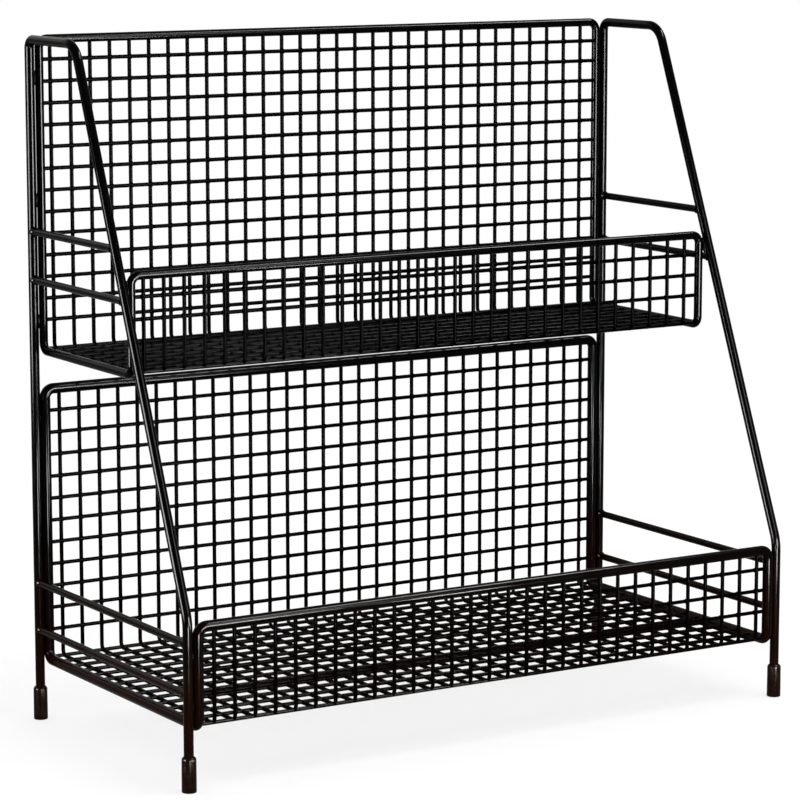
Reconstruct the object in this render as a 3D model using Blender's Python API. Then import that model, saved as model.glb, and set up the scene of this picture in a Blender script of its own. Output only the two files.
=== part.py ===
"""Two-tier countertop display stand of black coated steel rod and welded wire mesh.

Two bent side frames stand on four rubber caps. Straight rails cross each side
frame. Between the frames sit two shelves: a rod rim bent into a back, a floor
and a front lip, filled by a welded mesh sheet bent the same way.
All lengths are in metres. +X is to the right, +Y to the back, +Z up, and the
origin is on the table, under the middle of the stand.
"""

import math
from collections import namedtuple

import bmesh
import bpy
from mathutils import Matrix, Quaternion, Vector

# Gap left between two pieces that touch
CLEARANCE = 0.0003

# Side frames: one bent rod each, from rear foot over the top to front foot
FRAME_ROD_RADIUS = 0.00275
FRAME_SPACING = 0.3990
POST_SPACING = 0.1840
TOP_HEIGHT = 0.3971
KNEE_HEIGHT = 0.0948
LEG_SLOPE = math.radians(22.5)
REAR_TOP_BEND = 0.005
FRONT_TOP_BEND = 0.015
KNEE_BEND = 0.028

# Rubber caps on the rod ends
FOOT_RADIUS = 0.00415
FOOT_HEIGHT = 0.0196
FOOT_BASE = 0.0032
FOOT_SHOULDER = 0.0009
FOOT_EDGE = 0.0006

# Side rails, in pairs: the upper one of each pair, and the step down to the lower one
RAIL_RADIUS = 0.00225
UPPER_RAIL_HEIGHT = 0.2874
LOWER_RAIL_HEIGHT = 0.0816
RAIL_STEP = 0.0279

# Upper shelf
UPPER_RIM_RADIUS = 0.0025
UPPER_SIDE_GAP = 0.0008
UPPER_FLOOR_HEIGHT = 0.2179
UPPER_LIP_RISE = 0.0550
UPPER_DEPTH = 0.1108
UPPER_BEND = 0.0050
UPPER_ROW_PITCH = 0.01246
UPPER_FIRST_ROW_RISE = 0.0181
UPPER_SHEET_SHIFT = -0.0021

# Lower shelf, which is as deep as the side frames
LOWER_RIM_RADIUS = 0.0031
LOWER_SIDE_GAP = CLEARANCE
LOWER_FLOOR_HEIGHT = 0.0354
LOWER_BACK_RISE = 0.1600
LOWER_LIP_RISE = 0.0551
LOWER_BEND = 0.0052
LOWER_ROW_PITCH = 0.01297
LOWER_FIRST_ROW_RISE = 0.0177
LOWER_SHEET_SHIFT = 0.0002

# Mesh wires: columns run from back to lip, rows run across
WIRE_RADIUS = 0.0012
COLUMN_PITCH = 0.0127
WELD_DEPTH = 0.0004
EDGE_MARGIN_SHARE = 0.25
LAST_ROW_SHARE = 0.5

# Finishes: linear colour, roughness and clear coat
STEEL_FINISH = ((0.012, 0.011, 0.011), 0.18, 0.6)
RUBBER_FINISH = ((0.022, 0.017, 0.014), 0.55, 0)

# Facets
BEND_STEPS = 4
WIRE_BEND_STEPS = 3
ROD_RESOLUTION = 3
RIM_RESOLUTION = 2
WIRE_RESOLUTION = 0
FOOT_STEPS = 16
SHARP_ANGLE = math.radians(50)
MERGE_DISTANCE = 0.00001

# A shelf: its rim rod and gap to the side frames, its heights and places on the centre lines, its mesh
Shelf = namedtuple(
    "Shelf",
    "name rod side_gap back_top floor lip_top rear front bend row_pitch first_row sheet_shift",
)

REAR = POST_SPACING / 2
FRONT = -POST_SPACING / 2
SIDE = FRAME_SPACING / 2
WIRE_STEP = 2 * WIRE_RADIUS + CLEARANCE
TIE_SHIFT = CLEARANCE + WELD_DEPTH

UPPER_SHELF = Shelf(
    "upper_shelf",
    UPPER_RIM_RADIUS,
    UPPER_SIDE_GAP,
    TOP_HEIGHT,
    UPPER_FLOOR_HEIGHT,
    UPPER_FLOOR_HEIGHT + UPPER_LIP_RISE,
    REAR,
    REAR - UPPER_DEPTH,
    UPPER_BEND,
    UPPER_ROW_PITCH,
    UPPER_FLOOR_HEIGHT + UPPER_FIRST_ROW_RISE,
    UPPER_SHEET_SHIFT,
)
LOWER_SHELF = Shelf(
    "lower_shelf",
    LOWER_RIM_RADIUS,
    LOWER_SIDE_GAP,
    LOWER_FLOOR_HEIGHT + LOWER_BACK_RISE,
    LOWER_FLOOR_HEIGHT,
    LOWER_FLOOR_HEIGHT + LOWER_LIP_RISE,
    REAR,
    FRONT,
    LOWER_BEND,
    LOWER_ROW_PITCH,
    LOWER_FLOOR_HEIGHT + LOWER_FIRST_ROW_RISE,
    LOWER_SHEET_SHIFT,
)


def clear_scene():
    for thing in list(bpy.data.objects):
        bpy.data.objects.remove(thing)


def coating(name, colour, roughness, coat):
    """A plain finish: the coated steel or the rubber."""
    material = bpy.data.materials.new(name)
    material.use_nodes = True
    shader = material.node_tree.nodes["Principled BSDF"]
    shader.inputs["Base Color"].default_value = (*colour, 1)
    shader.inputs["Metallic"].default_value = 0
    shader.inputs["Roughness"].default_value = roughness
    shader.inputs["Coat Weight"].default_value = coat
    material.diffuse_color = (*colour, 1)
    return material


def add_object(name, data, material):
    thing = bpy.data.objects.new(name, data)
    data.materials.append(material)
    bpy.context.scene.collection.objects.link(thing)
    return thing


def bend_points(before, corner, after, radius, steps):
    """The arc that rounds one corner of a rod's centre line."""
    back = (before - corner).normalized()
    ahead = (after - corner).normalized()
    half = back.angle(ahead) / 2
    start = corner + back * (radius / math.tan(half))
    centre = corner + (back + ahead).normalized() * (radius / math.sin(half))
    axis = (-back).cross(ahead).normalized()
    turn = math.pi - 2 * half
    arm = start - centre
    return [centre + Quaternion(axis, turn * i / steps) @ arm for i in range(steps + 1)]


def bent_path(corners, radii, steps, closed=False):
    """A centre line through the corners, each rounded by its own radius."""
    corners = [Vector(corner) for corner in corners]
    count = len(corners)
    points = []
    for i, corner in enumerate(corners):
        if not closed and i in (0, count - 1):
            points.append(corner)
            continue
        radius = radii[i] if closed else radii[i - 1]
        points += bend_points(corners[i - 1], corner, corners[(i + 1) % count], radius, steps)
    return points


def rod_curve(name, paths, radius, resolution, closed=False):
    """Round rod along one or more centre lines, as a bevelled curve."""
    curve = bpy.data.curves.new(name, "CURVE")
    curve.dimensions = "3D"
    curve.bevel_depth = radius
    curve.bevel_resolution = resolution
    curve.use_fill_caps = True
    curve.render_resolution_u = 0
    for path in paths:
        spline = curve.splines.new("POLY")
        spline.points.add(len(path) - 1)
        for point, place in zip(spline.points, path):
            point.co = (*place, 1)
        spline.use_smooth = True
        spline.use_cyclic_u = closed
    return curve


def frame_path(side):
    """The side frame's centre line in its own plane, at X = side."""
    top_front = FRONT + (TOP_HEIGHT - KNEE_HEIGHT) * math.tan(LEG_SLOPE)
    rod_end = FOOT_BASE + CLEARANCE
    corners = [
        (side, REAR, rod_end),
        (side, REAR, TOP_HEIGHT),
        (side, top_front, TOP_HEIGHT),
        (side, FRONT, KNEE_HEIGHT),
        (side, FRONT, rod_end),
    ]
    return bent_path(corners, [REAR_TOP_BEND, FRONT_TOP_BEND, KNEE_BEND], BEND_STEPS)


def side_frame(name, side, steel):
    return add_object(name, rod_curve(name, [frame_path(side)], FRAME_ROD_RADIUS, ROD_RESOLUTION), steel)


def leg_back(height):
    """How far back the front leg's rear surface reaches at a height, with the gap to a rail's end."""
    path = frame_path(0)
    for upper, lower in zip(path, path[1:]):
        if upper.z > height >= lower.z:
            slope = (upper.y - lower.y) / (upper.z - lower.z)
            centre = lower.y + slope * (height - lower.z)
            return centre + (FRAME_ROD_RADIUS + CLEARANCE) * math.hypot(1, slope)
    return FRONT + FRAME_ROD_RADIUS + CLEARANCE


def rail(name, side, height, steel):
    """A straight rod between the rear post and the front leg, its front end cut to the leg's slope."""
    mesh = bpy.data.meshes.new(name)
    shape = bmesh.new()
    facets = 2 * ROD_RESOLUTION + 4
    post_front = REAR - FRAME_ROD_RADIUS - CLEARANCE
    ring = bmesh.ops.create_circle(shape, cap_ends=True, segments=facets, radius=RAIL_RADIUS)["verts"]
    stand_up = Matrix.Rotation(math.pi / 2, 4, "X")
    place = Matrix.Translation((side, post_front, height))
    bmesh.ops.transform(shape, matrix=place @ stand_up, verts=ring)
    grown = bmesh.ops.extrude_face_region(shape, geom=shape.faces[:])["geom"]
    for vert in [piece for piece in grown if isinstance(piece, bmesh.types.BMVert)]:
        vert.co.y = leg_back(vert.co.z)
    bmesh.ops.recalc_face_normals(shape, faces=shape.faces[:])
    shape.to_mesh(mesh)
    shape.free()
    mesh.shade_smooth()
    mesh.set_sharp_from_angle(angle=SHARP_ANGLE)
    return add_object(name, mesh, steel)


def foot(name, side, depth, rubber):
    """A rubber cap turned about its own axis, with a blind bore that takes the rod's end."""
    bore = FRAME_ROD_RADIUS + CLEARANCE
    profile = [
        (0, 0),
        (FOOT_RADIUS - FOOT_EDGE, 0),
        (FOOT_RADIUS, FOOT_EDGE),
        (FOOT_RADIUS, FOOT_HEIGHT - FOOT_SHOULDER),
        (FOOT_RADIUS - FOOT_SHOULDER, FOOT_HEIGHT),
        (bore, FOOT_HEIGHT),
        (bore, FOOT_BASE),
        (0, FOOT_BASE),
    ]
    mesh = bpy.data.meshes.new(name)
    shape = bmesh.new()
    verts = [shape.verts.new((radius, 0, height)) for radius, height in profile]
    edges = [shape.edges.new(pair) for pair in zip(verts, verts[1:])]
    bmesh.ops.spin(
        shape,
        geom=verts + edges,
        axis=(0, 0, 1),
        cent=(0, 0, 0),
        angle=2 * math.pi,
        steps=FOOT_STEPS,
        use_merge=True,
    )
    bmesh.ops.remove_doubles(shape, verts=shape.verts[:], dist=MERGE_DISTANCE)
    bmesh.ops.recalc_face_normals(shape, faces=shape.faces[:])
    shape.to_mesh(mesh)
    shape.free()
    mesh.shade_smooth()
    mesh.set_sharp_from_angle(angle=SHARP_ANGLE)
    thing = add_object(name, mesh, rubber)
    thing.location = (side, depth, 0)
    return thing


def rim_half_width(shelf):
    """From the middle of the stand to the rim's side rods, which lie along the side frames."""
    return SIDE - FRAME_ROD_RADIUS - shelf.side_gap - shelf.rod


def shelf_rim(shelf, steel):
    """One closed rod: across the back's top, down, forward, up the lip, across and back again."""
    half = rim_half_width(shelf)
    right_side = [
        (half, shelf.rear, shelf.back_top),
        (half, shelf.rear, shelf.floor),
        (half, shelf.front, shelf.floor),
        (half, shelf.front, shelf.lip_top),
    ]
    left_side = [(-x, y, z) for x, y, z in reversed(right_side)]
    corners = right_side + left_side
    path = bent_path(corners, [shelf.bend] * len(corners), BEND_STEPS, closed=True)
    name = shelf.name + "_rim"
    return add_object(name, rod_curve(name, [path], shelf.rod, RIM_RESOLUTION, closed=True), steel)


def column_places(shelf):
    """X of each column wire, as many as the rim's width takes. The sheet may hang a little off centre."""
    room = 2 * (rim_half_width(shelf) - shelf.rod - EDGE_MARGIN_SHARE * COLUMN_PITCH)
    gaps = int(room / COLUMN_PITCH)
    return [shelf.sheet_shift + (i - gaps / 2) * COLUMN_PITCH for i in range(gaps + 1)]


def column_path(shelf, x, shift):
    """A column wire: down behind the back, under the floor, up before the lip, bent round the crease rows."""
    out = WIRE_STEP / 2 - shift
    end_gap = shelf.rod + CLEARANCE
    corners = [
        (x, shelf.rear + out, shelf.back_top - end_gap),
        (x, shelf.rear + out, shelf.floor - out),
        (x, shelf.front - out, shelf.floor - out),
        (x, shelf.front - out, shelf.lip_top - end_gap),
    ]
    return bent_path(corners, [WIRE_STEP - shift] * 2, WIRE_BEND_STEPS)


def rows_up(shelf, top):
    """Heights of the row wires from the lowest one up to a top rod."""
    last = top - shelf.rod - WIRE_STEP
    count = int((last - shelf.first_row) / shelf.row_pitch) + 1
    return [shelf.first_row + i * shelf.row_pitch for i in range(count)]


def rows_back(shelf):
    """Places of the floor's row wires: one in each crease, and the pattern from the front one."""
    first = shelf.front + WIRE_STEP / 2
    last = shelf.rear - WIRE_STEP / 2
    count = int((last - first) / shelf.row_pitch - LAST_ROW_SHARE) + 1
    return [first + i * shelf.row_pitch for i in range(count)] + [last]


def row_paths(shelf):
    """All row wires, on the inner side of the columns; the rows next to the top rods are ties."""
    inset = WIRE_STEP / 2
    tie = inset - TIE_SHIFT
    end = rim_half_width(shelf) - shelf.rod - CLEARANCE
    back = rows_up(shelf, shelf.back_top)
    lip = rows_up(shelf, shelf.lip_top)
    places = [(shelf.rear - inset, height) for height in back[:-1]]
    places += [(shelf.rear - tie, back[-1])]
    places += [(depth, shelf.floor + inset) for depth in rows_back(shelf)]
    places += [(shelf.front + inset, height) for height in lip[:-1]]
    places += [(shelf.front + tie, lip[-1])]
    return [[(-end, y, z), (end, y, z)] for y, z in places]


def mesh_of(name, curve):
    """The curve's surface as a mesh."""
    carrier = bpy.data.objects.new(name, curve)
    bpy.context.scene.collection.objects.link(carrier)
    drawn = carrier.evaluated_get(bpy.context.evaluated_depsgraph_get())
    mesh = bpy.data.meshes.new_from_object(drawn)
    bpy.data.objects.remove(carrier)
    return mesh


def shelf_mesh(shelf, steel):
    """The bent mesh sheet. Its outer columns and end rows sink into the wires they cross."""
    places = column_places(shelf)
    ends = (places[0], places[-1])
    columns = [column_path(shelf, x, TIE_SHIFT if x in ends else 0) for x in places]
    name = shelf.name + "_mesh"
    sheet = add_object(name, mesh_of(name, rod_curve(name, columns, WIRE_RADIUS, WIRE_RESOLUTION)), steel)
    rows_name = shelf.name + "_rows"
    rows_mesh = mesh_of(rows_name, rod_curve(rows_name, row_paths(shelf), WIRE_RADIUS, WIRE_RESOLUTION))
    rows = add_object(rows_name, rows_mesh, steel)
    rows.hide_render = True
    rows.display_type = "WIRE"
    weld = sheet.modifiers.new("Weld the rows on", "BOOLEAN")
    weld.operation = "UNION"
    weld.solver = "EXACT"
    weld.object = rows
    return sheet


def build():
    clear_scene()
    steel = coating("black coated steel", *STEEL_FINISH)
    rubber = coating("black rubber", *RUBBER_FINISH)
    for hand, side in (("left", -SIDE), ("right", SIDE)):
        side_frame("side_frame_" + hand, side, steel)
        for pair, height in (("upper", UPPER_RAIL_HEIGHT), ("lower", LOWER_RAIL_HEIGHT)):
            rail(f"{pair}_rail_high_{hand}", side, height, steel)
            rail(f"{pair}_rail_low_{hand}", side, height - RAIL_STEP, steel)
        foot("foot_front_" + hand, side, FRONT, rubber)
        foot("foot_rear_" + hand, side, REAR, rubber)
    for shelf in (UPPER_SHELF, LOWER_SHELF):
        shelf_rim(shelf, steel)
        shelf_mesh(shelf, steel)


build()
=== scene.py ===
# %% [markdown]
# A two-tier countertop display stand of black coated steel.
# The CAD model gives the places and sizes. This script dresses it: every rod, wire, weld and rubber cap
# is modelled again with rounder sections, softer joints and a real finish, and the result is set in a
# plain studio. Each step says what the piece is on the real stand and how it is made here.
# Lengths are in metres. +X is right, +Y is back, +Z is up, and the origin is on the table.

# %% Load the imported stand
import math

import bmesh
import bpy
from mathutils import Matrix, Vector, noise


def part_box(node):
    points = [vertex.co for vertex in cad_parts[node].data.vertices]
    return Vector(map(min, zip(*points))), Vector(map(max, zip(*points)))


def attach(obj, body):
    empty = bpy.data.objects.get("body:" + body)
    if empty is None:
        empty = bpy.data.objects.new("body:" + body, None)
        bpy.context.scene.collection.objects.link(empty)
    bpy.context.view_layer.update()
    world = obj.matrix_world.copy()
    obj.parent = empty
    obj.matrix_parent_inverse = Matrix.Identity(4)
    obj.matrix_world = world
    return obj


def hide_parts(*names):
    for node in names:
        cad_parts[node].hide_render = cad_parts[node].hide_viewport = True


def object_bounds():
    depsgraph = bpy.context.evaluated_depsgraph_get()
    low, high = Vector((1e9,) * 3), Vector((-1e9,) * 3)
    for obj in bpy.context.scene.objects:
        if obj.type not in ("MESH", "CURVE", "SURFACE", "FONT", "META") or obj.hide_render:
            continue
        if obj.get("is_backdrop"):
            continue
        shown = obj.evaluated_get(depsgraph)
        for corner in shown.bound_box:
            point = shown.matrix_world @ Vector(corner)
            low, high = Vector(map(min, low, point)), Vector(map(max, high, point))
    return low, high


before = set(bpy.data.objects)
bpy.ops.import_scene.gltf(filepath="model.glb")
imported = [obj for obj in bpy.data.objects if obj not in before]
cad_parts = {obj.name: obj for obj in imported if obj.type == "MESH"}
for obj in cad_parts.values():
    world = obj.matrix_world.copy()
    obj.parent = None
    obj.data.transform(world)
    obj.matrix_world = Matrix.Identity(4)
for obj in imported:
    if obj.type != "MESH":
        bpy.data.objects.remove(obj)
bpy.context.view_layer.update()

print("CAD nodes:", len(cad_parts))

# %% [markdown]
# The camera comes first, because everything else is judged through it. The stand was photographed from
# its left, a little above, with a long lens: the wires stay almost parallel. The place and the lens were
# worked out from the crossings of the mesh, so no shift is needed, and other views stay centred.

# %% Camera
CAMERA_PLACE = Vector((-1.0168, -1.6278, 0.4958))
CAMERA_TURN = math.radians(31.775)
CAMERA_DIP = math.radians(9.195)
LENS_MM = 149.23
SENSOR_MM = 36

ahead = Vector((
    math.sin(CAMERA_TURN) * math.cos(CAMERA_DIP),
    math.cos(CAMERA_TURN) * math.cos(CAMERA_DIP),
    -math.sin(CAMERA_DIP),
))
camera_data = bpy.data.cameras.new("camera")
camera_data.lens = LENS_MM
camera_data.sensor_width = SENSOR_MM
camera = bpy.data.objects.new("camera", camera_data)
camera.location = CAMERA_PLACE
camera.rotation_mode = "QUATERNION"
camera.rotation_quaternion = ahead.to_track_quat("-Z", "Y")
bpy.context.scene.collection.objects.link(camera)
bpy.context.scene.camera = camera
print("camera is", round(CAMERA_PLACE.length, 2), "m from the stand's middle")

# %% [markdown]
# Studio light. Black gloss shows hardly any light of its own: what the eye reads as shape is what the
# rods mirror. So there are two kinds of light. The white surroundings and one large softbox overhead
# light everything evenly. The other lamps are there only to be mirrored, as bright lines along the rods.
# They are kept out of the diffuse light, which stays plain.

# %% White surroundings
world = bpy.data.worlds.new("white studio")
bpy.context.scene.world = world
world.use_nodes = True
background = world.node_tree.nodes["Background"]
background.inputs["Color"].default_value = (1, 1, 1, 1)
background.inputs["Strength"].default_value = 1
bpy.context.scene.view_settings.view_transform = "Standard"
print("the surroundings are plain white, with a brightness of 1")

# %% [markdown]
# Each mirrored lamp draws one kind of line. Upright strips are seen in the posts and the sloping legs, and
# a small lamp close to each short front leg is seen in that leg. A long high lamp is seen in the rods that
# run from side to side, and a wide weak one behind the stand in those that run from front to back.

# %% Lamps
AIM = Vector((0, 0, 0.2))
WATTS_PER_AREA = 4
STRIP_DISTANCE = 1.1
SHORT_LEG_SIDE, SHORT_LEG_FRONT, GLINT_HEIGHT = 0.1995, -0.092, 0.041
LEG_TO_GLINT = Vector((-0.047, -0.296, 0))
WARM_WHITE = (1.0, 0.92, 0.85)


def lamp(name, place, aim, width, height, power):
    """A rectangular lamp that the camera doesn't see."""
    light = bpy.data.lights.new(name, "AREA")
    light.shape = "RECTANGLE"
    light.size = width
    light.size_y = height
    light.energy = power
    thing = bpy.data.objects.new(name, light)
    thing.location = place
    thing.rotation_mode = "QUATERNION"
    thing.rotation_quaternion = (aim - Vector(place)).to_track_quat("-Z", "Y")
    thing.visible_camera = False
    bpy.context.scene.collection.objects.link(thing)
    return thing


def mirrored_lamp(name, place, aim, width, height, brightness):
    """A lamp that is seen only in the gloss. White surroundings have a brightness of 1."""
    power = WATTS_PER_AREA * brightness * width * height
    made = lamp(name, place, aim, width, height, power)
    made.visible_diffuse = False
    return made


def strip(name, degrees, bottom, top, width, brightness):
    """A narrow upright lamp. Its place is an angle from the front towards the right."""
    towards = math.radians(degrees)
    middle = Vector((0, 0, (bottom + top) / 2))
    place = STRIP_DISTANCE * Vector((math.sin(towards), -math.cos(towards), 0)) + middle
    mirrored_lamp(name, place, middle, width, top - bottom, brightness)


lamp("softbox_overhead", (0.5, -0.6, 1.5), AIM, width=1.0, height=0.7, power=9)
strip("posts_right_line", degrees=10, bottom=0.06, top=0.35, width=0.45, brightness=400)
strip("posts_left_line", degrees=-92, bottom=0.06, top=0.50, width=0.40, brightness=280)
strip("legs_right_line", degrees=20, bottom=0.50, top=1.00, width=0.40, brightness=60)
for hand, side in (("left", -SHORT_LEG_SIDE), ("right", SHORT_LEG_SIDE)):
    leg = Vector((side, SHORT_LEG_FRONT, GLINT_HEIGHT))
    mirrored_lamp(hand + "_leg_glint", leg + LEG_TO_GLINT, leg, width=0.08, height=0.06, brightness=600)
mirrored_lamp("bars_line", (0.75, -0.42, 1.4), AIM, width=0.9, height=0.15, brightness=200)
runs_glow = mirrored_lamp("runs_glow", (-0.40, 1.35, 0.97), AIM, width=1.2, height=0.8, brightness=2)
runs_glow.data.color = WARM_WHITE
print("lamps:", len(bpy.data.lights))

# %% [markdown]
# The floor is a plain white disc. It is matt and takes the stand's soft shadow, and it glows a little from
# within, as a lit white table does, which keeps that shadow faint. Towards its rim it turns transparent,
# so it has no visible edge against the white surroundings.

# %% Floor
FLOOR_RADIUS = 1.6
FLOOR_SOLID_SHARE = 0.35
FLOOR_SIDES = 96
FLOOR_DROP = 0.0001
FLOOR_WHITE = (0.98, 0.98, 0.98, 1)
FLOOR_GLOW_SHARE = 0.7


def add_node(tree, kind, **settings):
    """A node of a kind, with its inputs set by name or number and its options by name."""
    node = tree.nodes.new(kind)
    for name, value in settings.pop("inputs", {}).items():
        node.inputs[name].default_value = value
    for name, value in settings.items():
        setattr(node, name, value)
    return node


def floor_finish():
    """Matt white, part of it glowing, that fades away with distance from the stand."""
    material = bpy.data.materials.new("floor_white")
    material.use_nodes = True
    tree = material.node_tree
    tree.nodes.clear()
    place = add_node(tree, "ShaderNodeTexCoord")
    distance = add_node(tree, "ShaderNodeVectorMath", operation="LENGTH")
    fade = add_node(tree, "ShaderNodeMapRange", interpolation_type="SMOOTHSTEP", inputs={
        "From Min": FLOOR_RADIUS * FLOOR_SOLID_SHARE,
        "From Max": FLOOR_RADIUS,
    })
    matt = add_node(tree, "ShaderNodeBsdfDiffuse", inputs={"Color": FLOOR_WHITE})
    glow = add_node(tree, "ShaderNodeEmission")
    white = add_node(tree, "ShaderNodeMixShader", inputs={"Fac": FLOOR_GLOW_SHARE})
    clear = add_node(tree, "ShaderNodeBsdfTransparent")
    mix = add_node(tree, "ShaderNodeMixShader")
    out = add_node(tree, "ShaderNodeOutputMaterial")
    tree.links.new(place.outputs["Object"], distance.inputs[0])
    tree.links.new(distance.outputs["Value"], fade.inputs["Value"])
    tree.links.new(fade.outputs["Result"], mix.inputs["Fac"])
    tree.links.new(matt.outputs[0], white.inputs[1])
    tree.links.new(glow.outputs[0], white.inputs[2])
    tree.links.new(white.outputs[0], mix.inputs[1])
    tree.links.new(clear.outputs[0], mix.inputs[2])
    tree.links.new(mix.outputs[0], out.inputs["Surface"])
    return material


floor_shape = bmesh.new()
bmesh.ops.create_circle(
    floor_shape,
    cap_ends=True,
    segments=FLOOR_SIDES,
    radius=FLOOR_RADIUS,
    matrix=Matrix.Translation((0, 0, -FLOOR_DROP)),
)
floor_mesh = bpy.data.meshes.new("floor")
floor_shape.to_mesh(floor_mesh)
floor_shape.free()
floor_mesh.materials.append(floor_finish())
floor = bpy.data.objects.new("floor", floor_mesh)
bpy.context.scene.collection.objects.link(floor)
floor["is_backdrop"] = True
print("floor is", 2 * FLOOR_RADIUS, "m across")

# %% [markdown]
# Finishes. The steel has a baked black gloss coat. Seen close it is never one flat black: it has a fine
# orange peel, and its gloss changes a little from place to place. Low on the stand the black turns to
# brown-black, in some places more than in others: that brown is a painted reflection of the warm table
# below. All patterns are read from Object coordinates, which are the places on the stand itself, so they
# neither slide nor stretch.

# %% Pattern tools
def pattern(tree, size, detail):
    """Cloudy pattern whose patches are about as big as size, in metres."""
    place = add_node(tree, "ShaderNodeTexCoord")
    cloud = add_node(tree, "ShaderNodeTexNoise", inputs={"Scale": 1 / size, "Detail": detail})
    tree.links.new(place.outputs["Object"], cloud.inputs["Vector"])
    return cloud.outputs["Fac"]


def spread(tree, value, low, high, to_low, to_high):
    """Stretches a value from one range to another."""
    stretch = add_node(tree, "ShaderNodeMapRange", inputs={
        "From Min": low, "From Max": high, "To Min": to_low, "To Max": to_high})
    tree.links.new(value, stretch.inputs["Value"])
    return stretch.outputs["Result"]


def height_share(tree, low, high):
    """1 at a low height on the stand, falling to 0 at a high one."""
    place = add_node(tree, "ShaderNodeTexCoord")
    split = add_node(tree, "ShaderNodeSeparateXYZ")
    tree.links.new(place.outputs["Object"], split.inputs[0])
    return spread(tree, split.outputs["Z"], low, high, 1, 0)


def times(tree, first, second):
    """The product of two values."""
    product = add_node(tree, "ShaderNodeMath", operation="MULTIPLY")
    tree.links.new(first, product.inputs[0])
    tree.links.new(second, product.inputs[1])
    return product.outputs[0]


def blend_colours(tree, share, first, second):
    """The first colour where the share is 0, the second where it is 1."""
    mix = add_node(tree, "ShaderNodeMix", data_type="RGBA")
    mix.inputs["A"].default_value = first
    mix.inputs["B"].default_value = second
    tree.links.new(share, mix.inputs["Factor"])
    return mix.outputs["Result"]


def uneven(tree, height, depth, under=None):
    """Bump that stands depth metres proud."""
    bump = add_node(tree, "ShaderNodeBump", inputs={"Distance": depth})
    tree.links.new(height, bump.inputs["Height"])
    if under:
        tree.links.new(under, bump.inputs["Normal"])
    return bump.outputs["Normal"]


print("pattern tools are ready")

# %% [markdown]
# One recipe serves every coat on the steel. The rods are the glossiest. The thin wires mirror hardly
# anything, apart from the floors' rows, and the welds are lumpier and duller. The real stand may well have
# one coat all over: the differences are there to give each piece the shine that it shows.

# %% Gloss coats
COAT_BLACK = (0.0006, 0.0006, 0.0007, 1)
# Painted reflection: low on the stand the rods and wires take a warm table's brown, painted into the
# colour.
ROD_PAINTED_REFLECTION = (0.014, 0.0038, 0.0009, 1)
WIRE_PAINTED_REFLECTION = (0.0040, 0.0017, 0.0008, 1)
REFLECTION_LOW, REFLECTION_TOP = 0.02, 0.11
REFLECTION_PATCH, GLOSS_PATCH, WAVE_SIZE = 0.02, 0.012, 0.006
FINE_PEEL = 0.000004


def gloss_coat(name, reflected_brown, specular, dull, glossy, peel_size, peel_depth, wave_depth):
    """Black coat over steel with orange peel and uneven gloss, and a painted brown table reflection low
    down.
    """
    material = bpy.data.materials.new(name)
    material.use_nodes = True
    tree = material.node_tree
    shader = tree.nodes["Principled BSDF"]
    # Painted reflection of the table: brown low down, stronger in some patches than in others.
    patches = pattern(tree, REFLECTION_PATCH, detail=3)
    share = spread(tree, patches, low=0.35, high=0.7, to_low=0.45, to_high=1)
    low = times(tree, height_share(tree, REFLECTION_LOW, REFLECTION_TOP), share)
    tree.links.new(blend_colours(tree, low, COAT_BLACK, reflected_brown), shader.inputs["Base Color"])
    cloud = pattern(tree, GLOSS_PATCH, detail=4)
    gloss = spread(tree, cloud, low=0.3, high=0.7, to_low=glossy, to_high=dull)
    tree.links.new(gloss, shader.inputs["Roughness"])
    peel = uneven(tree, pattern(tree, peel_size, detail=2), peel_depth)
    waves = uneven(tree, pattern(tree, WAVE_SIZE, detail=1), wave_depth, peel)
    tree.links.new(waves, shader.inputs["Normal"])
    shader.inputs["Specular IOR Level"].default_value = specular
    return material


rod_coat = gloss_coat("rod_coat", ROD_PAINTED_REFLECTION, specular=0.012, dull=0.16, glossy=0.09,
                      peel_size=0.0011, peel_depth=FINE_PEEL, wave_depth=0.00003)
wire_coat = gloss_coat("wire_coat", WIRE_PAINTED_REFLECTION, specular=0.0015, dull=0.20, glossy=0.14,
                       peel_size=0.0009, peel_depth=FINE_PEEL, wave_depth=0.00002)
floor_coat = gloss_coat("floor_coat", WIRE_PAINTED_REFLECTION, specular=0.006, dull=0.20, glossy=0.14,
                        peel_size=0.0009, peel_depth=FINE_PEEL, wave_depth=0.00002)
weld_coat = gloss_coat("weld_coat", ROD_PAINTED_REFLECTION, specular=0.010, dull=0.38, glossy=0.24,
                       peel_size=0.0007, peel_depth=0.00010, wave_depth=0.00015)
nugget_coat = gloss_coat("nugget_coat", WIRE_PAINTED_REFLECTION, specular=0.003, dull=0.24, glossy=0.16,
                         peel_size=0.0009, peel_depth=FINE_PEEL, wave_depth=0.00002)
print("finishes of the steel:", [m.name for m in (rod_coat, wire_coat, floor_coat, weld_coat, nugget_coat)])

# %% [markdown]
# The caps are soft black rubber with a hint of brown. Rubber is duller than the coat, and handling leaves
# it patchy: some places are polished and some are dusty.

# %% Rubber
RUBBER_BLACK = (0.0090, 0.0030, 0.0011, 1)
RUBBER_DUSTY = (0.0140, 0.0056, 0.0026, 1)
RUBBER_SPECULAR = 0.016
DUST_PATCH = 0.003
SKIN_SIZE, SKIN_DEPTH = 0.0004, 0.00002


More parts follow.
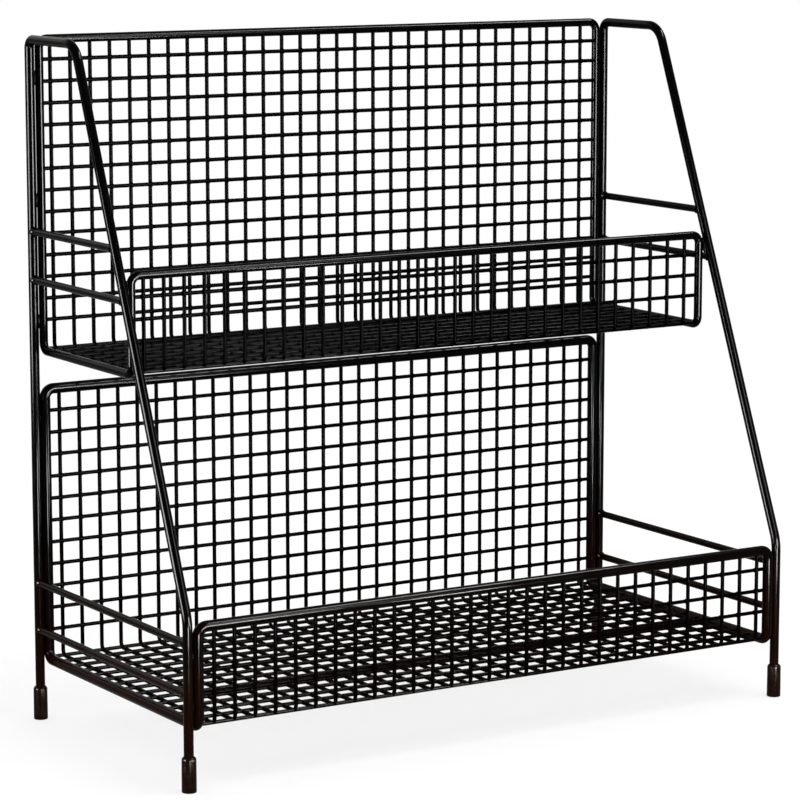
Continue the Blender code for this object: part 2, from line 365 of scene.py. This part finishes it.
def rubber():
    """Matt black-brown rubber with a fine skin and paler, duller patches."""
    material = bpy.data.materials.new("foot_rubber")
    material.use_nodes = True
    tree = material.node_tree
    shader = tree.nodes["Principled BSDF"]
    cloud = pattern(tree, DUST_PATCH, detail=5)
    patches = spread(tree, cloud, low=0.45, high=0.75, to_low=0, to_high=1)
    tree.links.new(blend_colours(tree, patches, RUBBER_BLACK, RUBBER_DUSTY), shader.inputs["Base Color"])
    dullness = spread(tree, patches, low=0, high=1, to_low=0.18, to_high=0.34)
    tree.links.new(dullness, shader.inputs["Roughness"])
    skin = uneven(tree, pattern(tree, SKIN_SIZE, detail=3), SKIN_DEPTH)
    tree.links.new(skin, shader.inputs["Normal"])
    shader.inputs["Specular IOR Level"].default_value = RUBBER_SPECULAR
    return material


foot_rubber = rubber()
print("finish of the caps:", foot_rubber.name)

# %% [markdown]
# Tools for rods. A bent rod is one round section pulled along a line. It could be a curve with a bevel,
# but a curve's rings bunch up in tight corners. Here the rod is made as a tube bender makes it: the cut
# end is a circle, straight runs are extruded, and corners are spun about the bend's own centre. So each
# ring is exactly round and square to the rod, and the gloss runs through the corners without a kink.

# %% Rod tools
MERGE = 0.00001


def end_face(shape, place, along, radius, sides):
    """The rod's round cut end."""
    turn = Vector((0, 0, 1)).rotation_difference(along).to_matrix().to_4x4()
    ring = bmesh.ops.create_circle(
        shape,
        cap_ends=True,
        segments=sides,
        radius=radius,
        matrix=Matrix.Translation(place) @ turn,
    )
    return ring["verts"][0].link_faces[0]


def faces_of(geometry):
    """Only the faces out of what a modelling step gives back."""
    return [part for part in geometry if isinstance(part, bmesh.types.BMFace)]


def pull(shape, face, move):
    """Extrudes the rod's end along a straight run, and returns the new end."""
    grown = bmesh.ops.extrude_face_region(shape, geom=[face])["geom"]
    end = faces_of(grown)[0]
    bmesh.ops.translate(shape, vec=move, verts=end.verts[:])
    return end


def turn_corner(shape, face, centre, axis, angle, steps):
    """Spins the rod's end round a corner, and returns the new end."""
    made = bmesh.ops.spin(shape, geom=[face], cent=centre, axis=axis, angle=angle, steps=steps)
    return faces_of(made["geom_last"])[0]


def bent_rod(shape, corners, radius, bends, sides, steps, closed=False):
    """A rod through the corners, each with its own bend radius. A closed rod starts and ends midway
    between its last and first corner, where its two ends are merged."""
    corners = [Vector(corner) for corner in corners]
    place = (corners[0] + corners[-1]) / 2 if closed else corners[0]
    stops = corners + [place.copy()] if closed else corners[1:]
    face = first = end_face(shape, place, stops[0] - place, radius, sides)
    for corner, following, bend in zip(stops, stops[1:], bends):
        into = (corner - place).normalized()
        onward = (following - corner).normalized()
        angle = into.angle(onward)
        axis = into.cross(onward).normalized()
        reach = bend * math.tan(angle / 2)
        start = corner - into * reach
        face = pull(shape, face, start - place)
        face = turn_corner(shape, face, start + axis.cross(into) * bend, axis, angle, steps)
        place = corner + onward * reach
    face = pull(shape, face, stops[-1] - place)
    if closed:
        bmesh.ops.delete(shape, geom=[first, face], context="FACES_ONLY")
        bmesh.ops.remove_doubles(shape, verts=shape.verts[:], dist=MERGE)


print("rod tools are ready")

# %% [markdown]
# Handing a piece in. Every piece goes the same way: its faces are turned outward, its soft corners are
# shaded smooth, and it rides on the stand's one body in place of the CAD nodes that it dresses.

# %% Finishing a piece
SHARP_ANGLE = math.radians(40)


def finish_piece(name, shape, material, slot, *nodes):
    """Makes the worked shape a piece of the stand that is shown in place of its CAD nodes."""
    bmesh.ops.recalc_face_normals(shape, faces=shape.faces[:])
    mesh = bpy.data.meshes.new(name)
    shape.to_mesh(mesh)
    shape.free()
    mesh.shade_smooth()
    mesh.set_sharp_from_angle(angle=SHARP_ANGLE)
    mesh.materials.append(material)
    piece = bpy.data.objects.new(name, mesh)
    bpy.context.scene.collection.objects.link(piece)
    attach(piece, "root")
    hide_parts(*nodes)
    print(name, "has", len(mesh.polygons), "faces")


print("a piece counts as smooth up to", round(math.degrees(SHARP_ANGLE)), "degrees")

# %% [markdown]
# Side frames. Each is one 5.5 mm rod, bent three times: over the top in a tight and a wider corner, and
# upright again at the knee, where the sloping leg ends. The CAD node's box gives the places, and only the
# bends, the leg's slope and the knee's height are written here.

# %% Side frames
ROD_SIDES = 32
FRAME_BENDS = (0.005, 0.015, 0.028)
BEND_STEPS = 12
KNEE_HEIGHT = 0.0948
LEG_SLOPE = math.radians(22.5)
FRAME_ROD = (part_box("side_frame_left")[1].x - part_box("side_frame_left")[0].x) / 2


def frame_corners(node):
    """The corners of a side frame's centre line, from its rear foot to its front foot."""
    low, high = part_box(node)
    side = (low.x + high.x) / 2
    front, rear = low.y + FRAME_ROD, high.y - FRAME_ROD
    top = high.z - FRAME_ROD
    top_front = front + (top - KNEE_HEIGHT) * math.tan(LEG_SLOPE)
    return [
        (side, rear, low.z),
        (side, rear, top),
        (side, top_front, top),
        (side, front, KNEE_HEIGHT),
        (side, front, low.z),
    ]


for hand in ("left", "right"):
    shape = bmesh.new()
    corners = frame_corners("side_frame_" + hand)
    bent_rod(shape, corners, FRAME_ROD, FRAME_BENDS, ROD_SIDES, BEND_STEPS)
    finish_piece(f"{hand}_bent_frame", shape, rod_coat, "coated_rod", "side_frame_" + hand)

# %% [markdown]
# Side rails. Each is a straight rod cut to length and welded between the post and the sloping leg. The
# weld leaves a small collar where the rod meets its neighbour, and the coat rounds it off. So the rod is
# pulled a little into the post, and its ends are widened in two steps, which gives that soft flare.

# %% Side rails
RAIL_FLARE = ((0.0030, 1.0), (0.0013, 1.07), (0.0004, 1.3))
RAIL_SINK = 0.0010


def leg_line(height):
    """Y of the leg's centre line at a height above the knee, or of its upright part below."""
    front = frame_corners("side_frame_left")[-1][1]
    return front + max(0, height - KNEE_HEIGHT) * math.tan(LEG_SLOPE)


def widen(shape, face, factor):
    """Scales the rod's end about its own centre."""
    centre = face.calc_center_median()
    bmesh.ops.scale(
        shape,
        vec=(factor, 1, factor),
        space=Matrix.Translation(-centre),
        verts=face.verts[:],
    )


def rail(node):
    """A straight rod along Y, flared at both ends where it is welded."""
    low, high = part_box(node)
    centre = (low + high) / 2
    radius = (high.x - low.x) / 2
    rear = high.y + RAIL_SINK
    slope_width = FRAME_ROD / math.cos(LEG_SLOPE) if centre.z > KNEE_HEIGHT else FRAME_ROD
    leg_face = leg_line(centre.z) + slope_width
    shape = bmesh.new()
    face = end_face(shape, Vector((centre.x, rear, centre.z)), Vector((0, -1, 0)), radius, ROD_SIDES)
    widen(shape, face, RAIL_FLARE[-1][1])
    places = [high.y - back for back, _ in reversed(RAIL_FLARE)]
    places += [leg_face + ahead_of for ahead_of, _ in RAIL_FLARE] + [leg_face - RAIL_SINK]
    factors = [factor for _, factor in reversed(RAIL_FLARE)]
    factors += [factor for _, factor in RAIL_FLARE] + [RAIL_FLARE[-1][1]]
    now = rear
    current = RAIL_FLARE[-1][1]
    for place, factor in zip(places, factors):
        face = pull(shape, face, Vector((0, place - now, 0)))
        widen(shape, face, factor / current)
        now, current = place, factor
    return shape


for node in sorted(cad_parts):
    if "_rail_" in node:
        finish_piece(node.replace("_rail_", "_side_rod_"), rail(node), rod_coat, "coated_rod", node)

# %% [markdown]
# Shelf rims. Each shelf's edge is one closed rod: across the back, down, forward, up the lip, and home
# again the same way. The mesh sheet hangs in it. All eight corners are spun about their own centres, and
# because every turn is a right angle, the last ring falls on the first and the two merge.

# %% Shelf rims
# The rim has a rod's radius, a bend and a lip's height. The mesh has a row pitch, the height of its first
# row over the floor, and a shift from the middle.
SHELVES = {
    "upper": {
        "rod": 0.0025, "bend": 0.0050, "lip": 0.0550,
        "pitch": 0.01246, "first": 0.0181, "shift": -0.0021,
    },
    "lower": {
        "rod": 0.0031, "bend": 0.0052, "lip": 0.0551,
        "pitch": 0.01297, "first": 0.0177, "shift": 0.0002,
    },
}
for tier, shelf in SHELVES.items():
    low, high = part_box(tier + "_shelf_rim")
    shelf["half"] = high.x - shelf["rod"]
    shelf["front"], shelf["rear"] = low.y + shelf["rod"], high.y - shelf["rod"]
    shelf["floor"], shelf["back_top"] = low.z + shelf["rod"], high.z - shelf["rod"]
    shelf["lip_top"] = shelf["floor"] + shelf["lip"]


def rim_corners(shelf):
    """The eight corners of a rim's centre line."""
    right = [
        (shelf["half"], shelf["rear"], shelf["back_top"]),
        (shelf["half"], shelf["rear"], shelf["floor"]),
        (shelf["half"], shelf["front"], shelf["floor"]),
        (shelf["half"], shelf["front"], shelf["lip_top"]),
    ]
    return right + [(-x, y, z) for x, y, z in reversed(right)]


for tier, shelf in SHELVES.items():
    shape = bmesh.new()
    corners = rim_corners(shelf)
    bends = [shelf["bend"]] * len(corners)
    bent_rod(shape, corners, shelf["rod"], bends, ROD_SIDES, BEND_STEPS, closed=True)
    finish_piece(f"{tier}_rim_rod", shape, rod_coat, "coated_rod", f"{tier}_shelf_rim")

# %% [markdown]
# Mesh columns. The wires that run from the back's top to the lip's top are all alike, so one is bent and
# then duplicated across the shelf. They lie on the outside of the sheet and turn at its two creases. Under
# the floor they are pressed almost level with the cross wires, so the shelf's lower front edge runs
# straight. Their ends are welded to the rim's top rods, so they are pulled a little into them. The upper
# sheet hangs 2 mm off the middle, as it does on the real stand.

# %% Mesh columns
WIRE = 0.00115
WIRE_SIDES = 12
WIRE_BEND_STEPS = 7
COLUMN_PITCH = 0.0127
COLUMNS = 30
HALF_STEP = 0.00078
FLOOR_STEP = 0.0004
FLOOR_ROWS_UP = 0.00113
COLUMN_BEND = 0.0035
END_SINK = 0.0012


def column_places(shelf):
    """X of every column wire."""
    return [shelf["shift"] + (i - (COLUMNS - 1) / 2) * COLUMN_PITCH for i in range(COLUMNS)]


def copies(shape, places):
    """Duplicates the whole shape so that it stands at each X in the list."""
    first = shape.verts[:] + shape.edges[:] + shape.faces[:]
    for place in places[1:]:
        again = bmesh.ops.duplicate(shape, geom=first)["geom"]
        verts = [part for part in again if isinstance(part, bmesh.types.BMVert)]
        bmesh.ops.translate(shape, vec=(place - places[0], 0, 0), verts=verts)


def column_corners(shelf, x):
    """The corners of a column's centre line, from the back's top to the lip's top."""
    rear, front = shelf["rear"] + HALF_STEP, shelf["front"] - HALF_STEP
    floor = shelf["floor"] + FLOOR_ROWS_UP - FLOOR_STEP
    gap = shelf["rod"] - END_SINK
    return [
        (x, rear, shelf["back_top"] - gap),
        (x, rear, floor),
        (x, front, floor),
        (x, front, shelf["lip_top"] - gap),
    ]


for tier, shelf in SHELVES.items():
    shape = bmesh.new()
    places = column_places(shelf)
    bent_rod(shape, column_corners(shelf, places[0]), WIRE, [COLUMN_BEND] * 2, WIRE_SIDES, WIRE_BEND_STEPS)
    copies(shape, places)
    finish_piece(f"{tier}_column_wires", shape, wire_coat, "coated_wire", f"{tier}_shelf_mesh")

# %% [markdown]
# Mesh rows. The cross wires are straight and lie on the inside. One lies in each crease of the sheet. On
# the floor they are counted from the front crease, and on the back and the lip from the first row above
# the crease. The floor's rows shine more than the upright ones. Here that comes from a glossier coat, so
# they are a piece of their own. The ends are welded to the rim's side rods.

# %% Mesh rows
LAST_ROW_SHARE = 0.5
TOP_ROOM = 0.0027
FACES_BACK, FACES_DOWN, FACES_FRONT = (0, 1, 0), (0, 0, -1), (0, -1, 0)


def rows_up(shelf, top):
    """Heights of the row wires from the first one above the crease up to a top rod."""
    first = shelf["floor"] + shelf["first"]
    count = int((top - shelf["rod"] - TOP_ROOM - first) / shelf["pitch"]) + 1
    return [first + i * shelf["pitch"] for i in range(count)]


def rows_back(shelf):
    """Places of the floor's row wires: one in each crease, and the rest from the front one."""
    first, last = shelf["front"] + HALF_STEP, shelf["rear"] - HALF_STEP
    count = int((last - first) / shelf["pitch"] - LAST_ROW_SHARE) + 1
    return [first + i * shelf["pitch"] for i in range(count)] + [last]


def row_places(shelf):
    """Y, Z and the side that faces the columns, for every row wire."""
    back = [(shelf["rear"] - HALF_STEP, z, FACES_BACK) for z in rows_up(shelf, shelf["back_top"])]
    base = [(y, shelf["floor"] + FLOOR_ROWS_UP, FACES_DOWN) for y in rows_back(shelf)]
    lip = [(shelf["front"] + HALF_STEP, z, FACES_FRONT) for z in rows_up(shelf, shelf["lip_top"])]
    return back + base + lip


for tier, shelf in SHELVES.items():
    end = shelf["half"] - END_SINK
    for name, coat, on_floor in (("upright_rows", wire_coat, False), ("floor_rows", floor_coat, True)):
        shape = bmesh.new()
        for y, z, facing in row_places(shelf):
            if (facing == FACES_DOWN) == on_floor:
                face = end_face(shape, Vector((-end, y, z)), Vector((1, 0, 0)), WIRE, WIRE_SIDES)
                pull(shape, face, Vector((2 * end, 0, 0)))
        finish_piece(f"{tier}_{name}", shape, coat, "coated_wire", f"{tier}_shelf_mesh")

# %% [markdown]
# Spot welds. At each crossing the two wires are pressed together while hot, which leaves a low swelling on
# the row wire, and the coat pools in the four corners. One flat nugget round the row wire does both. There
# are 780 on the upper shelf and 870 on the lower one, so a nugget has only a few dozen faces, and a
# shelf's nuggets are one piece.

# %% Spot welds
NUGGET_RADIUS = 0.0016
NUGGET_HEIGHT_SHARE = 0.7
NUGGET_SIDES = 8
NUGGET_RINGS = 6


def nugget(shape, place, facing):
    """A flattened ball between two crossing wires."""
    turn = Vector((0, 0, 1)).rotation_difference(Vector(facing)).to_matrix().to_4x4()
    spin_half = Matrix.Rotation(math.pi / NUGGET_SIDES, 4, "Z")
    flat = Matrix.Diagonal((1, 1, NUGGET_HEIGHT_SHARE, 1))
    bmesh.ops.create_uvsphere(
        shape,
        u_segments=NUGGET_SIDES,
        v_segments=NUGGET_RINGS,
        radius=NUGGET_RADIUS,
        matrix=Matrix.Translation(place) @ turn @ spin_half @ flat,
    )


for tier, shelf in SHELVES.items():
    shape = bmesh.new()
    places = column_places(shelf)
    for y, z, facing in row_places(shelf):
        nugget(shape, Vector((places[0], y, z)), facing)
    copies(shape, places)
    finish_piece(f"{tier}_spot_welds", shape, nugget_coat, "coated_wire", f"{tier}_shelf_mesh")

# %% [markdown]
# Frame welds. The rims are held between the side frames by short beads in the groove where two rods lie
# side by side: three down each rear post for the upper shelf, two for the lower one, two on each short
# front leg, and one where the sloping leg passes the upper lip's corner. They are laid from behind, where
# a buyer doesn't look. A bead is a stretched ball, and its skin is pushed in and out a little, as melted
# metal sets.

# %% Frame welds
BEAD_WIDTH = 0.0010
BEAD_DEPTH = 0.0017
BEAD_BEHIND = 0.0012
BEAD_HALF_LENGTH = 0.0048
BEAD_RIPPLE = 0.00022
BEAD_GRAIN = 0.0014
BEAD_SIDES = 16
BEAD_RINGS = 12
POST_BEADS = {"upper": (0.375, 0.305, 0.235), "lower": (0.178, 0.052)}
SLOPE_BEAD = 0.2665
LEG_BEADS = (0.074, 0.046)


def bead(shape, place, lean):
    """A weld bead that runs up the groove between two rods, leaning back by an angle."""
    stretch = Matrix.Diagonal((BEAD_WIDTH, BEAD_DEPTH, BEAD_HALF_LENGTH, 1))
    tilt = Matrix.Rotation(-lean, 4, "X")
    ball = bmesh.ops.create_uvsphere(
        shape,
        u_segments=BEAD_SIDES,
        v_segments=BEAD_RINGS,
        radius=1,
        matrix=Matrix.Translation(place) @ tilt @ stretch,
    )
    for vert in ball["verts"]:
        push = noise.noise(vert.co / BEAD_GRAIN)
        vert.co += (vert.co - place).normalized() * push * BEAD_RIPPLE


def bead_places(tier, shelf):
    """Y, Z and lean of one side's beads."""
    places = [(shelf["rear"], height, 0) for height in POST_BEADS[tier]]
    if tier == "upper":
        return places + [(leg_line(SLOPE_BEAD), SLOPE_BEAD, LEG_SLOPE)]
    return places + [(shelf["front"], height, 0) for height in LEG_BEADS]


post_side = (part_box("side_frame_right")[0].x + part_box("side_frame_right")[1].x) / 2
for tier, shelf in SHELVES.items():
    shape = bmesh.new()
    groove = (post_side - FRAME_ROD + shelf["half"] + shelf["rod"]) / 2
    for y, z, lean in bead_places(tier, shelf):
        for side in (-groove, groove):
            bead(shape, Vector((side, y + BEAD_BEHIND, z)), lean)
    finish_piece(f"{tier}_frame_welds", shape, weld_coat, "coated_rod", f"{tier}_shelf_rim")

# %% [markdown]
# Rubber caps. A cap is a moulded cup pushed over the rod's end. It is turned here, as on a lathe: its
# outline is a few points, which spin runs round the axis. The wall narrows a little towards the mouth, the
# edges are rounded, and the sole is hollow in the middle. Last, the mould's parting line is raised down
# two sides.

# %% Rubber caps
CAP_SIDES = 48
CAP_BASE = 0.0034
BORE_ROOM = 0.00005
SOLE_HOLLOW = 0.0004
HOLLOW_SHARE, RING_SHARE = 0.62, 0.72
SOLE_EDGE = ((0.0006, 0), (0.00018, 0.00015), (0, 0.0006))
WAIST_INSET = 0.00004
MOUTH_EDGE = ((0.0001, 0.0016), (0.00025, 0.0008), (0.0007, 0.0002))
BORE_EDGE = 0.0003
PARTING = 0.00012
PARTING_REACH = 0.0008


def cap_outline(radius, height, bore, base):
    """Radius and height of the cap's outline, from the middle of its sole round to its bore's end."""
    sole = [(0, SOLE_HOLLOW), (radius * HOLLOW_SHARE, SOLE_HOLLOW), (radius * RING_SHARE, 0)]
    sole += [(radius - inset, up) for inset, up in SOLE_EDGE]
    waist = [(radius - WAIST_INSET, height / 2)]
    mouth = [(radius - inset, height - down) for inset, down in MOUTH_EDGE]
    hole = [(bore + BORE_EDGE, height), (bore, height - BORE_EDGE), (bore, base), (0, base)]
    return sole + waist + mouth + hole


def cap(node):
    """One cap, in the place of its CAD node."""
    low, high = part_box(node)
    centre = (low + high) / 2
    radius = (high.x - low.x) / 2
    outline = cap_outline(radius, high.z - low.z, FRAME_ROD + BORE_ROOM, CAP_BASE)
    shape = bmesh.new()
    verts = [shape.verts.new((r, 0, z)) for r, z in outline]
    edges = [shape.edges.new(pair) for pair in zip(verts, verts[1:])]
    bmesh.ops.spin(
        shape,
        geom=verts + edges,
        cent=(0, 0, 0),
        axis=(0, 0, 1),
        angle=2 * math.pi,
        steps=CAP_SIDES,
        use_merge=True,
    )
    bmesh.ops.remove_doubles(shape, verts=shape.verts[:], dist=MERGE)
    for vert in shape.verts:
        if abs(vert.co.y) < MERGE and abs(vert.co.x) > radius - PARTING_REACH:
            vert.co.x += math.copysign(PARTING, vert.co.x)
    bmesh.ops.translate(shape, vec=(centre.x, centre.y, low.z), verts=shape.verts[:])
    return shape


for node in sorted(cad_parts):
    if node.startswith("foot_"):
        finish_piece(node.replace("foot_", "rubber_cap_"), cap(node), foot_rubber, "foot_rubber", node)

# %% [markdown]
# The last cell measures the dressed stand and prints its box. The dressing must not change the stand's
# size.

# %% Sizes, and the end
low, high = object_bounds()
print("dressed box in mm:", [round(1000 * size, 1) for size in high - low])
